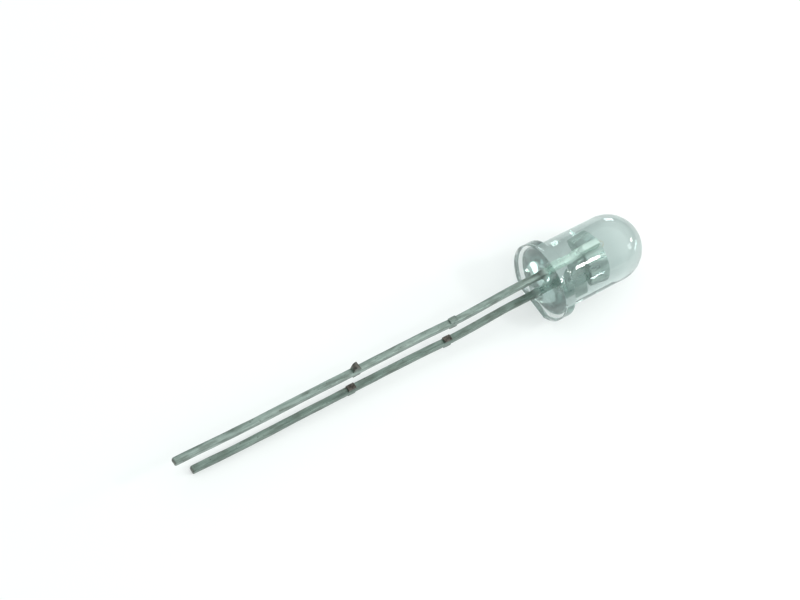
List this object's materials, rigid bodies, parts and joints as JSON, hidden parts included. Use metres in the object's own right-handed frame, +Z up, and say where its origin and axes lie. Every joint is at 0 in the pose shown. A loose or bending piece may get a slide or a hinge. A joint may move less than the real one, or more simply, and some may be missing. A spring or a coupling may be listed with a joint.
{
  "type": "through hole led",
  "caption": "Round clear 5 mm through-hole LED: a flanged epoxy dome lens over a reflector cup and die, on long straight square leads, lying at rest on its flat.",
  "frame": {"origin": "on the table, below the middle of the LED's whole length, in the plane through both leads", "axes": "+X from the lead tips towards the dome, level; +Z up from the table; the lens axis lies in the XZ plane and rises by 2.1 degrees towards the dome; the cathode and its flat are underneath"},
  "size_m": [0.0388, 0.0058, 0.0055],
  "materials": {
    "clear_epoxy": "clear cast epoxy, glossy",
    "tinned_steel": "tin plated, slightly dull, with dark marks where the tie bars were cut",
    "silver_adhesive": "silver-filled, matt",
    "semiconductor": "sawn, dark",
    "gold": "bright drawn wire"
  },
  "bodies": {
    "root": {"lens": "clear_epoxy", "cathode_lead": "tinned_steel", "anode_lead": "tinned_steel", "die_attach": "silver_adhesive", "die": "semiconductor", "bond_wire": "gold"}
  },
  "joints": []
}
